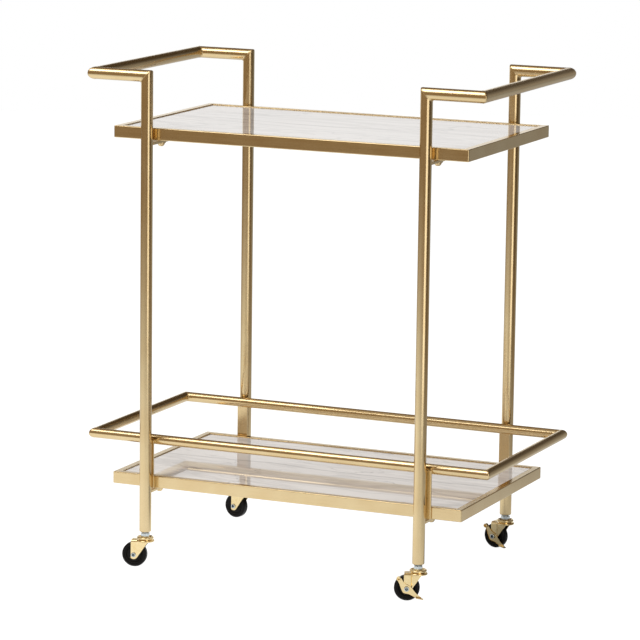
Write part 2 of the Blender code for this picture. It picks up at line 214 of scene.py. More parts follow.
def polishedMarble(name, shift):
    # White marble, honed and polished: cloudy ground, soft grey veins that run along the slab and a few
    # thin darker lines. shift moves the pattern, so that no two slabs match.
    look = marbleLook
    material, tree = newMaterial(name)
    place = addNode(tree, "ShaderNodeTexCoord")
    moved = addNode(
        tree, "ShaderNodeMapping", None, {"Location": shift, "Rotation": (0, 0, look["turn"])},
        {"Vector": place.outputs["Object"]})

    def veins(size, detail, warp, width):
        # thin lines where a warped noise crosses its middle value
        scaled = addNode(
            tree, "ShaderNodeMapping", None, {"Scale": (1 / size[0], 1 / size[1], 10)},
            {"Vector": moved.outputs["Vector"]})
        noise = addNode(
            tree, "ShaderNodeTexNoise", None,
            {"Scale": 1.0, "Detail": detail, "Roughness": 0.55, "Distortion": warp},
            {"Vector": scaled.outputs["Vector"]})
        off = addNode(
            tree, "ShaderNodeMath", {"operation": "SUBTRACT"}, {1: 0.5}, {0: noise.outputs["Fac"]})
        away = addNode(tree, "ShaderNodeMath", {"operation": "ABSOLUTE"}, None, {0: off.outputs["Value"]})
        near = addNode(
            tree, "ShaderNodeMapRange", {"interpolation_type": "SMOOTHSTEP"},
            {"From Min": 0.0, "From Max": width, "To Min": 1.0, "To Max": 0.0},
            {"Value": away.outputs["Value"]})
        return near.outputs["Result"]

    cloudScale = addNode(
        tree, "ShaderNodeMapping", None,
        {"Scale": (1 / look["cloudSize"][0], 1 / look["cloudSize"][1], 10)},
        {"Vector": moved.outputs["Vector"]})
    cloud = addNode(
        tree, "ShaderNodeTexNoise", None, {"Scale": 1.0, "Detail": 5.0, "Roughness": 0.6, "Distortion": 0.6},
        {"Vector": cloudScale.outputs["Vector"]})
    clear = addNode(
        tree, "ShaderNodeMapRange", None, {**noiseRange, "To Min": 0, "To Max": 1},
        {"Value": cloud.outputs["Fac"]})
    ground = addNode(
        tree, "ShaderNodeMix", {"data_type": "RGBA"},
        {"A": linear(look["cloud"]), "B": linear(look["ground"])}, {"Factor": clear.outputs["Result"]})
    softVeins = veins(look["veinSize"], 4.0, 0.8, look["veinWidth"])
    softAmount = addNode(
        tree, "ShaderNodeMath", {"operation": "MULTIPLY"}, {1: look["veinAmount"]}, {0: softVeins})
    veined = addNode(
        tree, "ShaderNodeMix", {"data_type": "RGBA"}, {"B": linear(look["vein"])},
        {"Factor": softAmount.outputs["Value"], "A": ground.outputs["Result"]})
    # the thin darker lines show only in the clouded patches
    thinLines = veins(look["lineSize"], 5.0, 0.5, look["lineWidth"])
    patches = addNode(
        tree, "ShaderNodeMapRange", None, {**noiseRange, "To Min": 1, "To Max": 0},
        {"Value": cloud.outputs["Fac"]})
    patchy = addNode(
        tree, "ShaderNodeMath", {"operation": "MULTIPLY"}, None, {0: thinLines, 1: patches.outputs["Result"]})
    lineSoft = addNode(
        tree, "ShaderNodeMath", {"operation": "MULTIPLY"}, {1: look["lineAmount"]},
        {0: patchy.outputs["Value"]})
    lined = addNode(
        tree, "ShaderNodeMix", {"data_type": "RGBA"}, {"B": linear(look["line"])},
        {"Factor": lineSoft.outputs["Value"], "A": veined.outputs["Result"]})
    # one grey vein wanders along the middle of the slab
    long = look["longVein"]
    wander = addNode(
        tree, "ShaderNodeTexNoise", None, {"Scale": long["wave"], "Detail": 4.0, "Roughness": 0.55},
        {"Vector": moved.outputs["Vector"]})
    sway = addNode(
        tree, "ShaderNodeMath", {"operation": "MULTIPLY_ADD"}, {1: long["wander"], 2: -long["wander"] / 2},
        {0: wander.outputs["Fac"]})
    across = addNode(tree, "ShaderNodeSeparateXYZ", None, None, {"Vector": place.outputs["Object"]})
    gap = addNode(
        tree, "ShaderNodeMath", {"operation": "SUBTRACT"}, None,
        {0: across.outputs["Y"], 1: sway.outputs["Value"]})
    nearness = addNode(tree, "ShaderNodeMath", {"operation": "ABSOLUTE"}, None, {0: gap.outputs["Value"]})
    longAmount = addNode(
        tree, "ShaderNodeMapRange", {"interpolation_type": "SMOOTHSTEP"},
        {"From Min": 0.0, "From Max": long["width"], "To Min": long["amount"], "To Max": 0.0},
        {"Value": nearness.outputs["Value"]})
    longLined = addNode(
        tree, "ShaderNodeMix", {"data_type": "RGBA"}, {"B": linear(look["line"])},
        {"Factor": longAmount.outputs["Result"], "A": lined.outputs["Result"]})
    shader = addNode(
        tree, "ShaderNodeBsdfPrincipled", None, {"Roughness": look["roughness"], "IOR": 1.5},
        {"Base Color": longLined.outputs["Result"]})
    addNode(tree, "ShaderNodeOutputMaterial", None, None, {"Surface": shader.outputs["BSDF"]})
    return material


brassAlong = [satinBrass(axis) for axis in range(3)]
plateBrass = brassPlate()
zinc = zincPlate()
nylon = blackNylon()
print("materials made")


# Making meshes

def finishPiece(name, bm, material, body, nodes=(), place=None, sharp=35):
    # a finished piece that rides body and replaces nodes; edges sharper than sharp degrees stay crisp
    bmesh.ops.remove_doubles(bm, verts=bm.verts, dist=1e-6)
    bmesh.ops.recalc_face_normals(bm, faces=bm.faces)
    if place:
        bmesh.ops.transform(bm, matrix=place, verts=bm.verts)
    mesh = bpy.data.meshes.new(name)
    bm.to_mesh(mesh)
    bm.free()
    mesh.materials.append(material)
    mesh.shade_smooth()
    mesh.set_sharp_from_angle(angle=math.radians(sharp))
    piece = bpy.data.objects.new(name, mesh)
    bpy.context.scene.collection.objects.link(piece)
    flat = piece.modifiers.new("flatFaces", "WEIGHTED_NORMAL")
    flat.keep_sharp = True
    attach(piece, body)
    if nodes:
        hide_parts(*nodes)
    return piece


def arc(centre, radius, start, end, steps):
    turns = [math.radians(start + (end - start) * i / steps) for i in range(steps + 1)]
    return [(centre[0] + radius * math.cos(a), centre[1] + radius * math.sin(a)) for a in turns]


def addTurned(bm, profile, segments=64, ring=False, matrix=None):
    # (radius, height) points, the outer side running down; ring joins the last point to the first
    matrix = matrix or Matrix.Identity(4)
    rings = []
    for radius, height in profile:
        count = segments if radius > 1e-9 else 1
        turns = [2 * math.pi * i / count for i in range(count)]
        points = [Vector((radius * math.cos(a), radius * math.sin(a), height)) for a in turns]
        rings.append([bm.verts.new(matrix @ point) for point in points])
    if ring:
        rings.append(rings[0])
    for upper, lower in zip(rings, rings[1:]):
        for i in range(segments):
            j = (i + 1) % segments
            loop = [upper[i % len(upper)], lower[i % len(lower)]]
            loop += [lower[j % len(lower)], upper[j % len(upper)]]
            loop = list(dict.fromkeys(loop))   # a pole gives the same vertex twice
            if len(loop) > 2:
                bm.faces.new(loop)


def addSwept(bm, rings):
    # skins a row of rings with the same number of points, and closes both ends
    made = [[bm.verts.new(point) for point in ring] for ring in rings]
    count = len(made[0])
    for first, second in zip(made, made[1:]):
        for i in range(count):
            j = (i + 1) % count
            bm.faces.new((first[i], first[j], second[j], second[i]))
    bm.faces.new(made[0][::-1])
    bm.faces.new(made[-1])


def addBox(bm, low, high, bevel, segments=3, matrix=None):
    low, high = Vector(low), Vector(high)
    place = Matrix.Translation((low + high) / 2) @ Matrix.Diagonal((*(high - low), 1))
    made = bmesh.ops.create_cube(bm, size=1, matrix=place)
    edges = list({edge for vert in made["verts"] for edge in vert.link_edges})
    rounded = bmesh.ops.bevel(
        bm, geom=edges, offset=bevel, segments=segments, affect="EDGES", profile=0.5)
    if matrix:
        verts = {vert for face in rounded["faces"] for vert in face.verts}
        bmesh.ops.transform(bm, matrix=matrix, verts=list(verts))


# Round tube

tubeLook = {"sides": 72, "footRounding": 1.6 * mm, "plugRadius": 6.6 * mm,
            "mitreRounding": 2.6 * mm, "mitreSteps": 5}
handleHeight = middle("handle_grip_left").z
gripX = middle("handle_grip_right").x
uprightX = middle("upright_front_right").x
uprightY = middle("handle_arm_rear_right").y
tubeRadius = (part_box("handle_grip_left")[1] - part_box("handle_grip_left")[0]).z / 2
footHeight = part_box("upright_front_left")[0].z
guardX = middle("guard_rail_right").x
guardY = middle("guard_rail_rear").y
guardHeight = middle("guard_rail_front").z
guardRadius = (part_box("guard_rail_front")[1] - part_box("guard_rail_front")[0]).z / 2


def spokes(along):
    # unit vectors square to the tube, all the way round
    side = along.orthogonal().normalized()
    up = along.cross(side)
    turns = [2 * math.pi * i / tubeLook["sides"] for i in range(tubeLook["sides"])]
    return [side * math.cos(a) + up * math.sin(a) for a in turns]


def tubeRing(centre, along, radius):
    return [centre + radius * way for way in spokes(along)]


def elbow(corner, along, toCorner, neighbour, radius):
    # rings from the straight tube onto the mitre plane: the outer edge is rounded off and the inner one
    # filled, as a ground weld is
    corner, neighbour = Vector(corner), Vector(neighbour)
    rounding, steps = tubeLook["mitreRounding"], tubeLook["mitreSteps"]
    rings = []
    for step in range(steps + 1):
        turn = math.pi / 4 * step / steps
        slide, sink = rounding * (math.sin(turn) - 1), rounding * (1 - math.cos(turn))
        rings.append([
            corner + radius * way + toCorner * (slide - radius * way.dot(neighbour)) + neighbour * sink
            for way in spokes(along)])
    return rings


def mitredTube(name, start, end, startWay, endWay, radius, axis):
    along = (Vector(end) - Vector(start)).normalized()
    bm = bmesh.new()
    first = elbow(start, along, -along, startWay, radius)
    addSwept(bm, first[::-1] + elbow(end, along, along, endWay, radius))
    return finishPiece(name, bm, brassAlong[axis], "cart", [name])


def upright(name, sx, sy, tab):
    x, y = sx * uprightX, sy * uprightY
    down = Vector((0, 0, -1))
    corner = Vector((x, y, handleHeight))
    rounding = tubeLook["footRounding"]
    bm = bmesh.new()
    rings = elbow(corner, down, -down, (sx, 0, 0), tubeRadius)[::-1]
    foot = arc((tubeRadius - rounding, footHeight + rounding), rounding, 0, -90, 5)
    foot += [(tubeLook["plugRadius"], footHeight), (tubeLook["plugRadius"] - 0.4 * mm, footHeight + 1.5 * mm)]
    rings += [tubeRing(Vector((x, y, height)), down, radius) for radius, height in foot]
    addSwept(bm, rings)
    for prefix in ("top", "lower"):
        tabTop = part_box(prefix + "_frame_front")[0].z - tab["drop"]
        reach = sorted((y - sy * tab["root"], y - sy * tab["reach"]))
        low = (x - tab["width"] / 2, reach[0], tabTop - tab["thickness"])
        high = (x + tab["width"] / 2, reach[1], tabTop)
        addBox(bm, low, high, tab["bevel"])
    return finishPiece(name, bm, brassAlong[2], "cart", [name])


tab = {"width": 16 * mm, "thickness": 4 * mm, "drop": 3 * mm, "root": tubeRadius * 0.8, "reach": 60 * mm,
       "bevel": 0.5 * mm}
for name, sx, sy in corners:
    upright("upright_" + name, sx, sy, tab)
    mitredTube(
        "handle_arm_" + name, (sx * uprightX, sy * uprightY, handleHeight),
        (sx * gripX, sy * uprightY, handleHeight), (0, 0, -1), (0, -sy, 0), tubeRadius, 0)
for side, sx in sides:
    mitredTube(
        "handle_grip_" + side, (sx * gripX, -uprightY, handleHeight), (sx * gripX, uprightY, handleHeight),
        (-sx, 0, 0), (-sx, 0, 0), tubeRadius, 1)
    mitredTube(
        "guard_rail_" + side, (sx * guardX, -guardY, guardHeight), (sx * guardX, guardY, guardHeight),
        (-sx, 0, 0), (-sx, 0, 0), guardRadius, 1)
for end, sy in ends:
    mitredTube(
        "guard_rail_" + end, (-guardX, sy * guardY, guardHeight), (guardX, sy * guardY, guardHeight),
        (0, -sy, 0), (0, -sy, 0), guardRadius, 0)
print("tubes made")


# Geometry Nodes

def newTree(name, inputs):
    tree = bpy.data.node_groups.new(name, "GeometryNodeTree")
    tree.is_modifier = True
    tree.interface.new_socket("Geometry", in_out="INPUT", socket_type="NodeSocketGeometry")
    for label, kind in inputs:
        tree.interface.new_socket(label, in_out="INPUT", socket_type=kind)
    tree.interface.new_socket("Geometry", in_out="OUTPUT", socket_type="NodeSocketGeometry")
    start = addNode(tree, "NodeGroupInput")
    return tree, start


def endTree(tree, geometry, material):
    real = addNode(tree, "GeometryNodeRealizeInstances", None, None, {"Geometry": geometry})
    painted = addNode(
        tree, "GeometryNodeSetMaterial", None, None, {"Geometry": real.outputs[0], "Material": material})
    addNode(tree, "NodeGroupOutput", None, None, {0: painted.outputs[0]})


def pointsMesh(name, places):
    # a point for each (position, turn, size), the last two kept as attributes
    mesh = bpy.data.meshes.new(name)
    mesh.from_pydata([place[0] for place in places], [], [])
    for label, index in (("turn", 1), ("size", 2)):
        attribute = mesh.attributes.new(label, "FLOAT_VECTOR", "POINT")
        attribute.data.foreach_set("vector", [value for place in places for value in place[index]])
    piece = bpy.data.objects.new(name, mesh)
    bpy.context.scene.collection.objects.link(piece)
    return piece


def growOn(name, places, tree, values, material, nodes=()):
    # runs a tree on the points and keeps its result as a plain mesh
    seedPiece = pointsMesh(name + "Points", places)
    modifier = seedPiece.modifiers.new("grow", "NODES")
    modifier.node_group = tree
    for item in tree.interface.items_tree:
        if item.in_out == "INPUT" and item.name in values:
            modifier[item.identifier] = values[item.name]
    evaluated = seedPiece.evaluated_get(bpy.context.evaluated_depsgraph_get())
    mesh = bpy.data.meshes.new_from_object(evaluated)
    bpy.data.objects.remove(seedPiece)
    bm = bmesh.new()
    bm.from_mesh(mesh)
    return finishPiece(name, bm, material, "cart", nodes)


def copiesOnPoints(tree, points, piece):
    # the piece on each point, turned and sized as the point says
    turn = addNode(
        tree, "GeometryNodeInputNamedAttribute", {"data_type": "FLOAT_VECTOR"}, {"Name": "turn"})
    size = addNode(
        tree, "GeometryNodeInputNamedAttribute", {"data_type": "FLOAT_VECTOR"}, {"Name": "size"})
    rotation = addNode(tree, "FunctionNodeEulerToRotation", None, None, {"Euler": turn.outputs["Attribute"]})
    copies = addNode(
        tree, "GeometryNodeInstanceOnPoints", None, None,
        {"Points": points, "Instance": piece, "Rotation": rotation.outputs["Rotation"],
         "Scale": size.outputs["Attribute"]})
    return copies.outputs["Instances"]


def weldTree():
    tree, start = newTree("weldBead", [
        ("Bead Radius", "NodeSocketFloat"), ("Ripple", "NodeSocketFloat"), ("Ripple Size", "NodeSocketFloat"),
        ("Seed", "NodeSocketFloat"), ("Material", "NodeSocketMaterial")])
    circle = addNode(tree, "GeometryNodeCurvePrimitiveCircle", None, {"Resolution": 96, "Radius": 1.0})
    seams = copiesOnPoints(tree, start.outputs["Geometry"], circle.outputs["Curve"])
    paths = addNode(tree, "GeometryNodeRealizeInstances", None, None, {"Geometry": seams})
    ripple = addNode(
        tree, "ShaderNodeTexNoise", {"noise_dimensions": "4D"}, {"Detail": 1.0},
        {"Scale": start.outputs["Ripple Size"], "W": start.outputs["Seed"]})
    swing = addNode(
        tree, "ShaderNodeMath", {"operation": "MULTIPLY_ADD"}, {2: 0.75},
        {0: ripple.outputs["Fac"], 1: start.outputs["Ripple"]})
    swollen = addNode(
        tree, "GeometryNodeSetCurveRadius", None, None,
        {"Curve": paths.outputs["Geometry"], "Radius": swing.outputs["Value"]})
    section = addNode(
        tree, "GeometryNodeCurvePrimitiveCircle", None, {"Resolution": 8},
        {"Radius": start.outputs["Bead Radius"]})
    beads = addNode(
        tree, "GeometryNodeCurveToMesh", None, None,
        {"Curve": swollen.outputs["Curve"], "Profile Curve": section.outputs["Curve"],
         "Scale": swing.outputs["Value"]})
    endTree(tree, beads.outputs["Mesh"], start.outputs["Material"])
    return tree


def mitrePlace(corner, wayA, wayB, radius):
    # an ellipse round the seam: long axis halfway between the two ways, short axis square to both
    wayA, wayB = Vector(wayA), Vector(wayB)
    long = (wayA + wayB).normalized()
    normal = (wayB - wayA).normalized()
    short = normal.cross(long)
    turn = Matrix((long, short, normal)).transposed().to_euler()
    filled = tubeLook["mitreRounding"] * (math.sqrt(2) - 1)
    return (tuple(Vector(corner) + long * filled), tuple(turn), (radius * math.sqrt(2), radius, radius))


welds = {"beadRadius": 0.3 * mm, "ripple": 0.5, "rippleSize": 260.0, "seed": 3.0}
seamPlaces = []
for name, sx, sy in corners:
    top = (sx * uprightX, sy * uprightY, handleHeight)
    far = (sx * gripX, sy * uprightY, handleHeight)
    rail = (sx * guardX, sy * guardY, guardHeight)
    seamPlaces.append(mitrePlace(top, (0, 0, -1), (sx, 0, 0), tubeRadius))
    seamPlaces.append(mitrePlace(far, (-sx, 0, 0), (0, -sy, 0), tubeRadius))
    seamPlaces.append(mitrePlace(rail, (-sx, 0, 0), (0, -sy, 0), guardRadius))
growOn(
    "weld_beads", seamPlaces, weldTree(),
    {"Bead Radius": welds["beadRadius"], "Ripple": welds["ripple"], "Ripple Size": welds["rippleSize"],
     "Seed": welds["seed"], "Material": brassAlong[2]}, brassAlong[2])
print("weld beads made")


# Shelves

shelfLook = {"edge": 1.3 * mm, "corner": 2.2 * mm, "edgeSteps": 4, "cornerSteps": 6, "plateBevel": 0.5 * mm}


def frameSection(width, height):
    # (distance in from the outer face, height below the top) round the box section
    r, steps = shelfLook["edge"], shelfLook["edgeSteps"]
    section = arc((r, r), r, 180, 270, steps)
    section += arc((width - r, r), r, 270, 360, steps)
    section += arc((width - r, height - r), r, 0, 90, steps)
    section += arc((r, height - r), r, 90, 180, steps)
    return section


def shelfFrame(prefix):
    low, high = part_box(prefix + "_frame_front")
    halfLength = high.x
    halfDepth = -low.y
    section = frameSection(high.y - low.y, high.z - low.z)
    steps, corner = shelfLook["cornerSteps"], shelfLook["corner"]
    bm = bmesh.new()
    loops = []
    for inward, below in section:
        inset = max(corner, inward)
        loop = []
        for start, sx, sy in ((0, 1, 1), (90, -1, 1), (180, -1, -1), (270, 1, -1)):
            centre = (sx * (halfLength - inset), sy * (halfDepth - inset))
            for px, py in arc(centre, max(corner - inward, 0), start, start + 90, steps):
                loop.append(bm.verts.new((px, py, high.z - below)))
        loops.append(loop)
    count = len(loops[0])
    for first, second in zip(loops, loops[1:] + loops[:1]):
        for i in range(count):
            j = (i + 1) % count
            bm.faces.new((first[i], second[i], second[j], first[j]))
    nodes = [f"{prefix}_frame_{side}" for side in ("front", "rear", "left", "right")]
    return finishPiece(prefix + "_shelf_frame", bm, brassAlong[0], "cart", nodes, None, 50)


def plateFromCad(name, grain):
    bm = bmesh.new()
    addBox(bm, *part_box(name), shelfLook["plateBevel"])
    return finishPiece(name, bm, brassAlong[grain], "cart", [name])


for prefix, shift in (("top", (0.37, 0.21, 0)), ("lower", (1.6, 0.43, 0.2))):
    shelfFrame(prefix)
    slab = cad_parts[prefix + "_panel"]
    slab.data.materials.clear()
    slab.data.materials.append(polishedMarble(prefix + "MarbleSlab", shift))
    for side, sx in sides:
        plateFromCad(f"{prefix}_crossbar_{side}", 1)
for name, sx, sy in corners:
    plateFromCad("guard_post_" + name, 2)
print("shelves made")


# Shelf bolts

bolt = {
    "head": 5.8 * mm, "dome": 5.8 * mm, "socket": 2.1 * mm, "socketDepth": 1.8 * mm,
    "washer": 7.4 * mm, "washerThickness": 1.8 * mm, "chamfer": 0.3 * mm,
    "shank": 3 * mm, "tip": 9.6 * mm, "spacer": 6 * mm, "spacerLow": 4.3 * mm, "spacerHigh": 7.3 * mm,
}


def boltShape():
    # drawn head down, with the washer's upper face at zero height
    b = bolt
    bm = bmesh.new()
    thick, chamfer = b["washerThickness"], b["chamfer"]
    crown = [(b["head"] * math.cos(a), -thick - b["dome"] * math.sin(a))
             for a in [math.radians(12 * i) for i in range(6)]]
    crownEnd = crown[-1][1]
    floor = crownEnd + b["socketDepth"]
    profile = [
        (0, b["tip"]), (b["shank"], b["tip"]), (b["shank"], b["spacerHigh"]), (b["spacer"], b["spacerHigh"]),
        (b["spacer"], b["spacerLow"]), (b["shank"], b["spacerLow"]), (b["shank"], 0),
        (b["washer"] - chamfer, 0), (b["washer"], -chamfer), (b["washer"], chamfer - thick),
        (b["washer"] - chamfer, -thick)]
    profile += crown + [(b["socket"] + chamfer, crownEnd), (b["socket"], floor - 1 * mm), (0, floor)]
    addTurned(bm, profile, 32)
    mesh = bpy.data.meshes.new("boltShape")
    bm.to_mesh(mesh)
    bm.free()
    return bpy.data.objects.new("boltShape", mesh)


def repeatTree():
    tree, start = newTree("repeatPiece", [("Piece", "NodeSocketObject"), ("Material", "NodeSocketMaterial")])
    piece = addNode(tree, "GeometryNodeObjectInfo", None, None, {"Object": start.outputs["Piece"]})
    copies = copiesOnPoints(tree, start.outputs["Geometry"], piece.outputs["Geometry"])
    endTree(tree, copies, start.outputs["Material"])
    return tree


boltNodes = [f"{prefix}_bolt_{name}" for prefix in ("top", "lower") for name, sx, sy in corners]
boltPlaces = []
for node in boltNodes:
    low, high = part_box(node)
    seat = Vector(((low.x + high.x) / 2, (low.y + high.y) / 2, high.z - bolt["tip"]))
    boltPlaces.append((seat, (0, 0, 0), (1, 1, 1)))
boltPiece = boltShape()
growOn(
    "shelf_bolts", boltPlaces, repeatTree(), {"Piece": boltPiece, "Material": brassAlong[2]}, brassAlong[2],
    boltNodes)
bpy.data.objects.remove(boltPiece)
print("bolts made")


# Casters, drawn in millimetres with the stem on Z and the wheel trailing along +X

caster = {
    "trail": 17.0, "wheelRadius": 20.0, "axle": 3.0, "pin": 3.3, "foot": 57.5,
    "crownTop": 44.4, "legInner": 7.5, "legOuter": 9.0, "leverInner": 9.5, "leverOuter": 11.0,
}
wheelCentre = Vector((caster["trail"], 0, caster["wheelRadius"]))
sideways = Matrix.Rotation(-math.pi / 2, 4, "X")   # lays a shape turned about Z along the axle
toWheel = Matrix.Translation(wheelCentre) @ sideways

nut = {"bottom": 48.6, "top": 55.2, "across": 7.5, "chamfer": 0.6}
stem = {"radius": 4.0, "reach": 6.5, "collar": 5.4}


def hexNut(place, name):
    bm = bmesh.new()
    centre = Matrix.Translation((0, 0, (nut["top"] + nut["bottom"]) / 2))
    bmesh.ops.create_cone(
        bm, cap_ends=True, segments=6, radius1=nut["across"], radius2=nut["across"],
        depth=nut["top"] - nut["bottom"], matrix=centre)
    bmesh.ops.bevel(bm, geom=bm.edges[:], offset=nut["chamfer"], segments=3, affect="EDGES", profile=0.5)
    end, top = caster["foot"] + stem["reach"], nut["top"]
    profile = [(0, end), (stem["radius"], end), (stem["radius"], top + 0.9), (stem["collar"], top + 0.6)]
    profile += [(stem["collar"], top - 0.3), (0, top - 0.3)]
    addTurned(bm, profile, 32)
    return finishPiece(
        "caster_stem_" + name, bm, zinc, "cart", ["caster_stem_" + name], place)


cup = {"radius": 13.4, "bottom": 44.9, "seat": 6.6, "dish": 8.8, "ring": 1.7, "groove": 2.8, "pinHead": 5.0}


def raceway(place, name):
    # pressed cup over the ball race: a dished top with a rolled ring round it, a groove under the ring
    # and the riveted head of the king pin below
    bm = bmesh.new()
    rim, base, groove = cup["radius"], cup["bottom"], cup["radius"] - cup["groove"]
    neck, pin = caster["pin"], caster["crownTop"] - 1.8
    profile = [(0, base + 3.9), (cup["seat"], base + 3.9), (cup["dish"] - 0.8, base + 2.7)]
    profile += [(cup["dish"], base + 2.6)] + arc((rim - cup["ring"], base + 2.7), cup["ring"], 115, -35, 9)
    profile += [(groove + 0.2, base + 0.9), (groove, base), (groove, base - 1), (neck, base - 1)]
    profile += [(neck, pin - 0.8), (cup["pinHead"], pin - 0.9), (4.2, pin - 1.8), (0, pin - 2.0)]
    addTurned(bm, profile, 72)
    return finishPiece("raceway_cup_" + name, bm, plateBrass, "cart", (), place)


forkLook = {
    "crownRadius": 14.6, "lip": 1.8, "lipDrop": 2.7, "plate": 1.5,
    "tip": 7.0, "heel": -6.0, "hoodReach": 3.5, "outerBend": 3.4, "innerBend": 2.0,
    # the fold of the braked casters' legs
    "crease": 10.0, "pinch": math.radians(6), "grooveDepth": 1.0, "grooveHalf": 1.2, "shoulder": 4.4,
    "edge": 0.28,
}


def legOutline():
    f = forkLook
    top = caster["crownTop"] + 4
    tip = arc((caster["trail"], caster["wheelRadius"]), f["tip"], 8, -148, 20)
    return tip + [
        (f["heel"], caster["crownTop"] - 3.0), (f["heel"], top), (caster["trail"] + f["hoodReach"], top)]


def bentStrip():
    # the U section of the fork: two legs and a hood, with rolled bends between them
    outside, inside, top = caster["legOuter"], caster["legInner"], caster["crownTop"]
    large, small = forkLook["outerBend"], forkLook["innerBend"]
    outer = arc((-outside + large, top - 3.5), large, 180, 90, 6)
    outer += arc((outside - large, top - 3.5), large, 90, 0, 6)
    inner = arc((inside - small, top - 3.6), small, 0, 90, 5)
    inner += arc((-inside + small, top - 3.6), small, 90, 180, 5)
    return [(-outside, 8.0)] + outer + [(outside, 8.0), (inside, 8.0)] + inner + [(-inside, 8.0)]


def meshObject(name, bm):
    bmesh.ops.remove_doubles(bm, verts=bm.verts, dist=1e-5)
    bmesh.ops.recalc_face_normals(bm, faces=bm.faces)
    mesh = bpy.data.meshes.new(name)
    bm.to_mesh(mesh)
    bm.free()
    piece = bpy.data.objects.new(name, mesh)
    bpy.context.scene.collection.objects.link(piece)
    return piece


def combine(base, others):
    # runs the Booleans one after the other and returns the result as a bmesh
    for operation, other in others:
        modifier = base.modifiers.new(operation, "BOOLEAN")
        modifier.operation = operation
        modifier.solver = "EXACT"
        modifier.object = other
    evaluated = base.evaluated_get(bpy.context.evaluated_depsgraph_get())
    bm = bmesh.new()
    bm.from_mesh(bpy.data.meshes.new_from_object(evaluated))
    for piece in [base] + [other for operation, other in others]:
        bpy.data.objects.remove(piece)
    return bm


def axleHole():
    # a little under the axle's size, so that the axle closes it
    hole = bmesh.new()
    radius = caster["axle"] - 0.3
    bmesh.ops.create_cone(
        hole, cap_ends=True, segments=40, radius1=radius, radius2=radius, depth=40, matrix=toWheel)
    return meshObject("axleHole", hole)


def fork(place, name, braked):
    f = forkLook
    strip = bmesh.new()
    addSwept(strip, [[Vector((x, y, z)) for y, z in bentStrip()] for x in (-7.0, caster["trail"] + 4.5)])
    prism = bmesh.new()
    addSwept(prism, [[Vector((x, y, z)) for x, z in legOutline()] for y in (-12.0, 12.0)])
    bm = combine(meshObject("strip", strip), [("INTERSECT", meshObject("prism", prism))])
    if braked:
        # the legs are pinched towards the stem, with a groove along the fold
        crease, half, shoulder = f["crease"], f["grooveHalf"], caster["crownTop"] - f["shoulder"]
        cuts = [((x, 0, 0), (1, 0, 0)) for x in (crease - half, crease, crease + half)]
        for point, normal in cuts + [((0, 0, shoulder), (0, 0, 1))]:
            bmesh.ops.bisect_plane(
                bm, geom=bm.verts[:] + bm.edges[:] + bm.faces[:], plane_co=point, plane_no=normal)
        for vert in bm.verts:
            if vert.co.z < shoulder + 0.1:
                groove = f["grooveDepth"] if abs(vert.co.x - crease) < 0.01 else 0.0
                pinch = max(crease - vert.co.x, 0) * math.tan(f["pinch"]) + groove
                vert.co.y -= math.copysign(pinch, vert.co.y)
    crown = bmesh.new()
    rim, top, lip, bore = f["crownRadius"], caster["crownTop"], f["lip"], caster["pin"]
    plate = [(bore, top)] + arc((rim - lip, top - lip), lip, 90, 0, 6)
    plate += [(rim - 0.1, top - f["lipDrop"]), (rim - 1.3, top - f["lipDrop"]), (rim - lip, top - 1.7)]
    addTurned(crown, plate + [(bore, top - f["plate"])], 72, ring=True)
    hole = bmesh.new()
    bmesh.ops.create_cone(
        hole, cap_ends=True, segments=48, radius1=bore, radius2=bore, depth=20,
        matrix=Matrix.Translation((0, 0, top)))
    bm = combine(meshObject("legs", bm), [
        ("DIFFERENCE", meshObject("hole", hole)), ("UNION", meshObject("crown", crown)),
        ("DIFFERENCE", axleHole())])
    bmesh.ops.dissolve_limit(
        bm, angle_limit=math.radians(1), verts=bm.verts, edges=bm.edges, delimit={"NORMAL"})
    sharpEdges = [e for e in bm.edges if len(e.link_faces) == 2 and e.calc_face_angle(0) > math.radians(50)]
    bmesh.ops.bevel(
        bm, geom=sharpEdges, offset=f["edge"], segments=2, affect="EDGES", profile=0.5, clamp_overlap=True)
    return finishPiece(
        "caster_fork_" + name, bm, plateBrass, "swivel_" + name, ["caster_fork_" + name],
        place, 30)


rivet = {"head": 3.9, "headHeight": 1.8, "eye": 2.0, "eyeDepth": 8.0}


def axle(place, name, braked):
    # hollow rivet: the near head has an open, dark eye
    head, eye, height = rivet["head"], rivet["eye"], rivet["headHeight"]
    near = (caster["leverOuter"] if braked else caster["legOuter"]) + 0.1
    far = -caster["legOuter"] - 0.1
    bottom = near + height - rivet["eyeDepth"]
    profile = [(0, bottom), (eye - 0.5, bottom), (eye, near + height - 0.5), (eye + 0.4, near + height)]
    profile += arc((head - 0.8, near + height - 0.8), 0.8, 90, 0, 5)
    profile += [(head, near), (caster["axle"], near), (caster["axle"], far), (head, far)]
    profile += arc((head - 1.2, far - 0.5), 1.2, 0, -90, 5) + [(0, far - 1.7)]
    bm = bmesh.new()
    addTurned(bm, profile, 40, matrix=toWheel)
    return finishPiece(
        "caster_axle_" + name, bm, zinc, "swivel_" + name, ["caster_axle_" + name], place)


wheelLook = {
    "half": 6.5, "tread": 3.4, "flat": 1.2,
    # (radius, height over the hub's face) from the hub out: recess, moulded ring, groove
    "side": ((5.8, 0), (6.4, -0.4), (6.8, -1.6), (11.4, -1.8), (12.2, -1.2), (12.8, -0.2), (13.4, 0.1),
             (14.0, -0.1), (14.4, -0.8), (15.0, -0.8), (15.4, -0.2), (16.0, 0)),
}


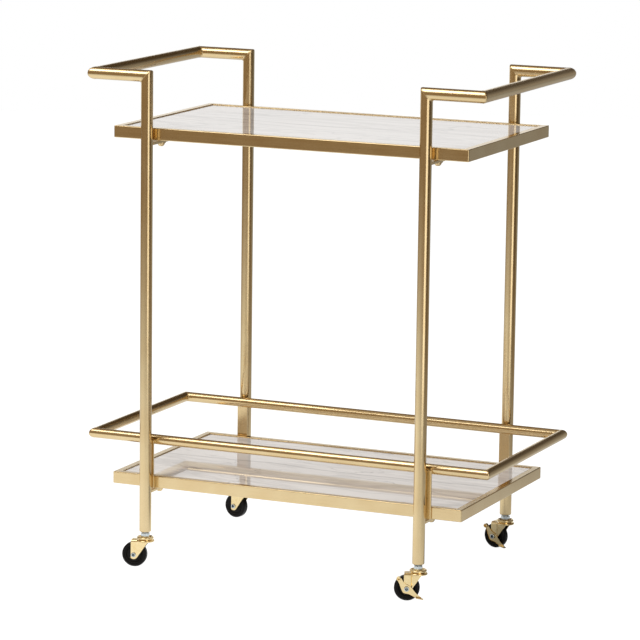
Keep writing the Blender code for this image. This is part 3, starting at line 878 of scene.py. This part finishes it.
def wheel(place, name):
    radius, half, rounding = caster["wheelRadius"], wheelLook["half"], wheelLook["tread"]
    side = [(caster["axle"] + 0.05, half)] + [(r, half + height) for r, height in wheelLook["side"]]
    side += arc((radius - rounding, half - rounding), rounding, 90, 8, 8) + [(radius, wheelLook["flat"])]
    profile = side + [(r, -height) for r, height in reversed(side)]
    bm = bmesh.new()
    addTurned(bm, profile, 96, ring=True, matrix=toWheel)
    return finishPiece(
        "caster_wheel_" + name, bm, nylon, "wheel_" + name, ["caster_wheel_" + name], place)


def smoothLoop(points, steps):
    # a closed Catmull-Rom curve through the points
    loop = []
    count = len(points)
    for i in range(count):
        a, b, c, d = [Vector(points[(i + k - 1) % count]) for k in range(4)]
        for s in range(steps):
            t = s / steps
            loop.append(0.5 * (2 * b + (c - a) * t + (2 * a - 5 * b + 4 * c - d) * t * t
                               + (3 * b - a - 3 * c + d) * t ** 3))
    return loop


lever = {
    # (along, up) from the axle, round the stamping
    "outline": ((-23, -13.5), (-20.5, -15.8), (-14, -13.6), (-4, -8.4), (4.5, -6.4), (8, -1), (11, 7),
                (15, 16.5), (12.6, 19.4), (9, 17.5), (3, 8.6), (-6, 3.6), (-15, -7.0)),
    "rim": 1.1, "dish": 0.7, "reach": 14.8,
    "toe": (-20, 0, -14.2), "toeTilt": math.radians(-10), "toeHalf": 6.0, "toeThickness": 1.6,
    "curl": (12.4, 0, 16.6), "curlOuter": 3.4, "curlInner": 2.2,
}


def brakeLever(place, name):
    # stamped lever on the axle, its edges raised, a rolled toe above the tread and a flat one low down
    inner, outer, reach = caster["leverInner"], caster["leverOuter"], lever["reach"]
    loop = smoothLoop(lever["outline"], 5)
    bm = bmesh.new()
    addSwept(bm, [[Vector((p.x, y, p.y)) for p in loop] for y in (inner, outer)])
    face = max(bm.faces, key=lambda f: (len(f.verts), f.calc_center_median().y))
    bmesh.ops.inset_region(bm, faces=[face], thickness=lever["rim"], depth=0)
    for vert in face.verts:
        vert.co.y -= lever["dish"]
    bmesh.ops.translate(bm, verts=bm.verts, vec=wheelCentre)
    bm = combine(meshObject("lever", bm), [("DIFFERENCE", axleHole())])
    half, thick, near = lever["toeHalf"], lever["toeThickness"] / 2, inner + 0.1
    tilt = Matrix.Translation(wheelCentre + Vector(lever["toe"])) @ Matrix.Rotation(lever["toeTilt"], 4, "Y")
    addBox(bm, (-half, near, -thick), (half, reach, thick), 0.7, 3, tilt)
    small, large = lever["curlInner"], lever["curlOuter"]
    curl = [(small, reach - 0.3), (small + 0.3, reach), (large - 0.4, reach), (large, reach - 0.4)]
    curl += [(large, near + 0.3), (large - 0.3, near), (small, near)]
    roll = Matrix.Translation(wheelCentre + Vector(lever["curl"])) @ sideways
    addTurned(bm, curl, 32, ring=True, matrix=roll)
    return finishPiece(
        "brake_lever_" + name, bm, plateBrass, "brake_" + name, ["brake_lever_" + name], place)


for name, sx, sy in corners:
    root, hub = middle("caster_stem_" + name), middle("caster_wheel_" + name)
    heading = math.atan2(hub.y - root.y, hub.x - root.x)
    place = Matrix.Translation((root.x, root.y, 0)) @ Matrix.Rotation(heading, 4, "Z") @ Matrix.Scale(mm, 4)
    braked = "brake_lever_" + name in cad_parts
    hexNut(place, name)
    raceway(place, name)
    fork(place, name, braked)
    axle(place, name, braked)
    wheel(place, name)
    if braked:
        brakeLever(place, name)
print("casters made")


# Studio

studio = {
    # (height from straight down at -1 to straight up at 1, brightness, warmth) of what the metal mirrors
    "behindLeft": ((-1, 0.6, 0), (0.0, 1.0, 0), (0.2, 1.05, 0), (0.3, 0.12, 0.5), (0.45, 0.06, 1),
                   (0.7, 0.2, 1), (1, 0.35, 0.5)),
    "behindRight": ((-1, 0.3, 0), (0.0, 0.30, 0.2), (0.13, 0.24, 0.3), (0.26, 0.12, 0.4), (0.42, 0.055, 1),
                    (0.7, 0.1, 1), (1, 0.35, 0.5)),
    "infront": ((-1, 0.34, 0.9), (0.0, 0.33, 0.9), (0.25, 0.30, 0.9), (0.6, 0.4, 0.5), (1, 0.4, 0.5)),
    "rightShade": 0.35,
    # the floor's painted glow is brightest at poolCentre and fades to a warm dark room; shadeCentre and
    # underShade paint the cart's shadow into it
    "poolCentre": (-0.6, -0.6, 0), "poolRadius": 2.0, "poolGlow": 1.08, "warm": (1.0, 0.7, 0.4, 1),
    "dimWay": (0.8, 0.6, 0), "dimmest": 0.66, "shadeCentre": (0.24, 0.08, 0), "underShade": 0.3,
    "rearGlow": 0.22, "floorColour": "8a8a8a", "floorRadius": 6.0, "floorLift": 0.93, "evenLight": 0.62,
}


def studioWorld():
    # what the metal mirrors: a white backdrop low behind on the left, darkness above it and to the right,
    # and a dim warm room in front
    world = bpy.data.worlds.new("studio")
    bpy.context.scene.world = world
    world.use_nodes = True
    tree = world.node_tree
    tree.nodes.clear()
    way = addNode(tree, "ShaderNodeTexCoord")
    parts = addNode(tree, "ShaderNodeSeparateXYZ", None, None, {"Vector": way.outputs["Generated"]})
    height = addNode(
        tree, "ShaderNodeMath", {"operation": "MULTIPLY_ADD"}, {1: 0.5, 2: 0.5}, {0: parts.outputs["Z"]})
    ramps = {}
    for name in ("behindLeft", "behindRight", "infront"):
        ramps[name] = addNode(tree, "ShaderNodeValToRGB", None, None, {"Fac": height.outputs["Value"]})
        elements = ramps[name].color_ramp.elements
        while len(elements) < len(studio[name]):
            elements.new(0.5)
        for element, (level, glow, warmth) in zip(elements, studio[name]):
            element.position = (level + 1) / 2
            element.color = (glow, glow * (1 - 0.33 * warmth), glow * (1 - 0.65 * warmth), 1)
    toRight = addNode(
        tree, "ShaderNodeMapRange", {"interpolation_type": "SMOOTHSTEP"},
        {"From Min": -0.3, "From Max": 0.35, "To Min": 0, "To Max": 1}, {"Value": parts.outputs["X"]})
    behind = addNode(
        tree, "ShaderNodeMix", {"data_type": "RGBA"}, None,
        {"Factor": toRight.outputs["Result"], "A": ramps["behindLeft"].outputs["Color"],
         "B": ramps["behindRight"].outputs["Color"]})
    toRear = addNode(
        tree, "ShaderNodeMapRange", {"interpolation_type": "SMOOTHSTEP"},
        {"From Min": 0.0, "From Max": 0.45, "To Min": 0, "To Max": 1}, {"Value": parts.outputs["Y"]})
    room = addNode(
        tree, "ShaderNodeMix", {"data_type": "RGBA"}, None,
        {"Factor": toRear.outputs["Result"], "A": ramps["infront"].outputs["Color"],
         "B": behind.outputs["Result"]})
    shade = addNode(
        tree, "ShaderNodeMapRange", {"interpolation_type": "SMOOTHSTEP"},
        {"From Min": 0.4, "From Max": 0.9, "To Min": 1.0, "To Max": studio["rightShade"]},
        {"Value": parts.outputs["X"]})
    dim = addNode(
        tree, "ShaderNodeBackground", None, None,
        {"Color": room.outputs["Result"], "Strength": shade.outputs["Result"]})
    white = addNode(tree, "ShaderNodeBackground", None, {"Color": (1, 1, 1, 1), "Strength": 1.0})
    even = addNode(
        tree, "ShaderNodeBackground", None, {"Color": (1, 1, 1, 1), "Strength": studio["evenLight"]})
    seen = addNode(tree, "ShaderNodeLightPath")
    spreading = addNode(
        tree, "ShaderNodeMixShader", None, None,
        {"Fac": seen.outputs["Is Diffuse Ray"], 1: dim.outputs["Background"], 2: even.outputs["Background"]})
    shown = addNode(
        tree, "ShaderNodeMixShader", None, None,
        {"Fac": seen.outputs["Is Camera Ray"], 1: spreading.outputs["Shader"],
         2: white.outputs["Background"]})
    addNode(tree, "ShaderNodeOutputWorld", None, None, {"Surface": shown.outputs["Shader"]})


def studioFloor():
    # a white paper sweep with its light painted into its glow: a painted pool of light that fades with
    # distance and towards the rear right, and a painted shadow under the cart
    material, tree = newMaterial("paleFloor")
    place = addNode(tree, "ShaderNodeTexCoord")
    parts = addNode(tree, "ShaderNodeSeparateXYZ", None, None, {"Vector": place.outputs["Object"]})
    distance = addNode(
        tree, "ShaderNodeVectorMath", {"operation": "DISTANCE"}, {1: studio["poolCentre"]},
        {0: place.outputs["Object"]})
    share = addNode(
        tree, "ShaderNodeMath", {"operation": "DIVIDE"}, {1: studio["poolRadius"]},
        {0: distance.outputs["Value"]})
    squared = addNode(tree, "ShaderNodeMath", {"operation": "POWER"}, {1: 2.0}, {0: share.outputs["Value"]})
    falloff = addNode(tree, "ShaderNodeMath", {"operation": "ADD"}, {1: 1.0}, {0: squared.outputs["Value"]})
    pool = addNode(
        tree, "ShaderNodeMath", {"operation": "DIVIDE"}, {0: studio["poolGlow"]},
        {1: falloff.outputs["Value"]})
    rearRight = addNode(
        tree, "ShaderNodeVectorMath", {"operation": "DOT_PRODUCT"}, {1: studio["dimWay"]},
        {0: place.outputs["Object"]})
    dimmed = addNode(
        tree, "ShaderNodeMapRange", {"interpolation_type": "SMOOTHSTEP"},
        {"From Min": 0.1, "From Max": 1.2, "To Min": 1.0, "To Max": studio["dimmest"]},
        {"Value": rearRight.outputs["Value"]})
    fading = addNode(
        tree, "ShaderNodeMath", {"operation": "MULTIPLY"}, None,
        {0: pool.outputs["Value"], 1: dimmed.outputs["Result"]})
    # painted shadow of the cart: the glow is dimmed round shadeCentre
    under = addNode(
        tree, "ShaderNodeVectorMath", {"operation": "DISTANCE"}, {1: studio["shadeCentre"]},
        {0: place.outputs["Object"]})
    shadow = addNode(
        tree, "ShaderNodeMapRange", {"interpolation_type": "SMOOTHSTEP"},
        {"From Min": 0.05, "From Max": 0.35, "To Min": studio["underShade"], "To Max": 1.0},
        {"Value": under.outputs["Value"]})
    shaded = addNode(
        tree, "ShaderNodeMath", {"operation": "MULTIPLY"}, None,
        {0: fading.outputs["Value"], 1: shadow.outputs["Result"]})
    rear = addNode(
        tree, "ShaderNodeMapRange", {"interpolation_type": "SMOOTHSTEP"},
        {"From Min": 0.8, "From Max": 2.5, "To Min": 0.0, "To Max": 1.0}, {"Value": parts.outputs["Y"]})
    glow = addNode(
        tree, "ShaderNodeMath", {"operation": "MULTIPLY_ADD"}, {1: studio["rearGlow"]},
        {0: rear.outputs["Result"], 2: shaded.outputs["Value"]})
    far = addNode(
        tree, "ShaderNodeMapRange", {"interpolation_type": "SMOOTHSTEP"},
        {"From Min": 1.6, "From Max": 3.6, "To Min": 0.0, "To Max": 1.0},
        {"Value": distance.outputs["Value"]})
    nearer = addNode(
        tree, "ShaderNodeMath", {"operation": "SUBTRACT"}, {0: 1.0}, {1: rear.outputs["Result"]})
    warmth = addNode(
        tree, "ShaderNodeMath", {"operation": "MULTIPLY"}, None,
        {0: far.outputs["Result"], 1: nearer.outputs["Value"]})
    tint = addNode(
        tree, "ShaderNodeMix", {"data_type": "RGBA"}, {"A": (1, 1, 1, 1), "B": studio["warm"]},
        {"Factor": warmth.outputs["Value"]})
    seen = addNode(tree, "ShaderNodeLightPath")
    warmOrWhite = addNode(
        tree, "ShaderNodeMix", {"data_type": "RGBA"}, {"B": (1, 1, 1, 1)},
        {"Factor": seen.outputs["Is Diffuse Ray"], "A": tint.outputs["Result"]})
    mirrored = addNode(
        tree, "ShaderNodeEmission", None, None,
        {"Color": warmOrWhite.outputs["Result"], "Strength": glow.outputs["Value"]})
    matt = addNode(tree, "ShaderNodeBsdfDiffuse", None, {"Color": linear(studio["floorColour"])})
    lift = addNode(tree, "ShaderNodeEmission", None, {"Color": (1, 1, 1, 1), "Strength": studio["floorLift"]})
    pale = addNode(
        tree, "ShaderNodeAddShader", None, None, {0: matt.outputs["BSDF"], 1: lift.outputs["Emission"]})
    surface = addNode(
        tree, "ShaderNodeMixShader", None, None,
        {"Fac": seen.outputs["Is Camera Ray"], 1: mirrored.outputs["Emission"], 2: pale.outputs["Shader"]})
    addNode(tree, "ShaderNodeOutputMaterial", None, None, {"Surface": surface.outputs["Shader"]})
    bm = bmesh.new()
    bmesh.ops.create_circle(bm, cap_ends=True, segments=96, radius=studio["floorRadius"])
    mesh = bpy.data.meshes.new("floor")
    bm.to_mesh(mesh)
    bm.free()
    mesh.materials.append(material)
    floor = bpy.data.objects.new("floor", mesh)
    bpy.context.scene.collection.objects.link(floor)


def softbox(name, position, aim, width, height, power):
    data = bpy.data.lights.new(name, "AREA")
    data.shape = "RECTANGLE"
    data.size = width
    data.size_y = height
    data.energy = power
    lamp = bpy.data.objects.new(name, data)
    bpy.context.scene.collection.objects.link(lamp)
    lamp.location = position
    lamp.rotation_euler = (Vector(aim) - Vector(position)).to_track_quat("-Z", "Y").to_euler()
    lamp.visible_camera = False
    return lamp


def addCamera(view):
    az, el = math.radians(view["azimuth"]), math.radians(view["elevation"])
    back = Vector((math.sin(az) * math.cos(el), -math.cos(az) * math.cos(el), math.sin(el)))
    right = (-back).cross(Vector((0, 0, 1))).normalized()
    level = Matrix((right, back.cross(right), back)).transposed()
    data = bpy.data.cameras.new("camera")
    data.lens = view["lens"]
    data.sensor_width = 36
    data.clip_end = 100
    camera = bpy.data.objects.new("camera", data)
    bpy.context.scene.collection.objects.link(camera)
    turned = level @ Matrix.Rotation(math.radians(view["roll"]), 3, "Z")
    position = Vector(view["target"]) + back * view["distance"]
    camera.matrix_world = Matrix.Translation(position) @ turned.to_4x4()
    bpy.context.scene.camera = camera


lamps = {
    # position, aim, width, height, power
    "overhead": ((-1.0, -1.15, 3.0), (0, 0, 0.5), 1.5, 1.8, 27),
    "stripRight": ((1.38, -1.12, 0.95), (0, 0, 0.95), 0.95, 1.9, 7.2),
    "fillFrontLeft": ((-2.2, -3.0, 1.4), (0, 0, 0.3), 2.0, 1.6, 140),
}
frontView = {
    "azimuth": 23.897, "elevation": 10.191, "distance": 5.688, "roll": 0.744,
    "target": (-0.0181, 0, 0.3878), "lens": 200.27,
}
bpy.context.scene.view_settings.view_transform = "Standard"
studioWorld()
studioFloor()
for name, setting in lamps.items():
    lamp = softbox(name, *setting)
    # the fill evens out the marble with no reflection of its own, and the overhead box is only mirrored
    lamp.visible_glossy = name != "fillFrontLeft"
    lamp.visible_diffuse = name != "overhead"
addCamera(frontView)
print("studio set")
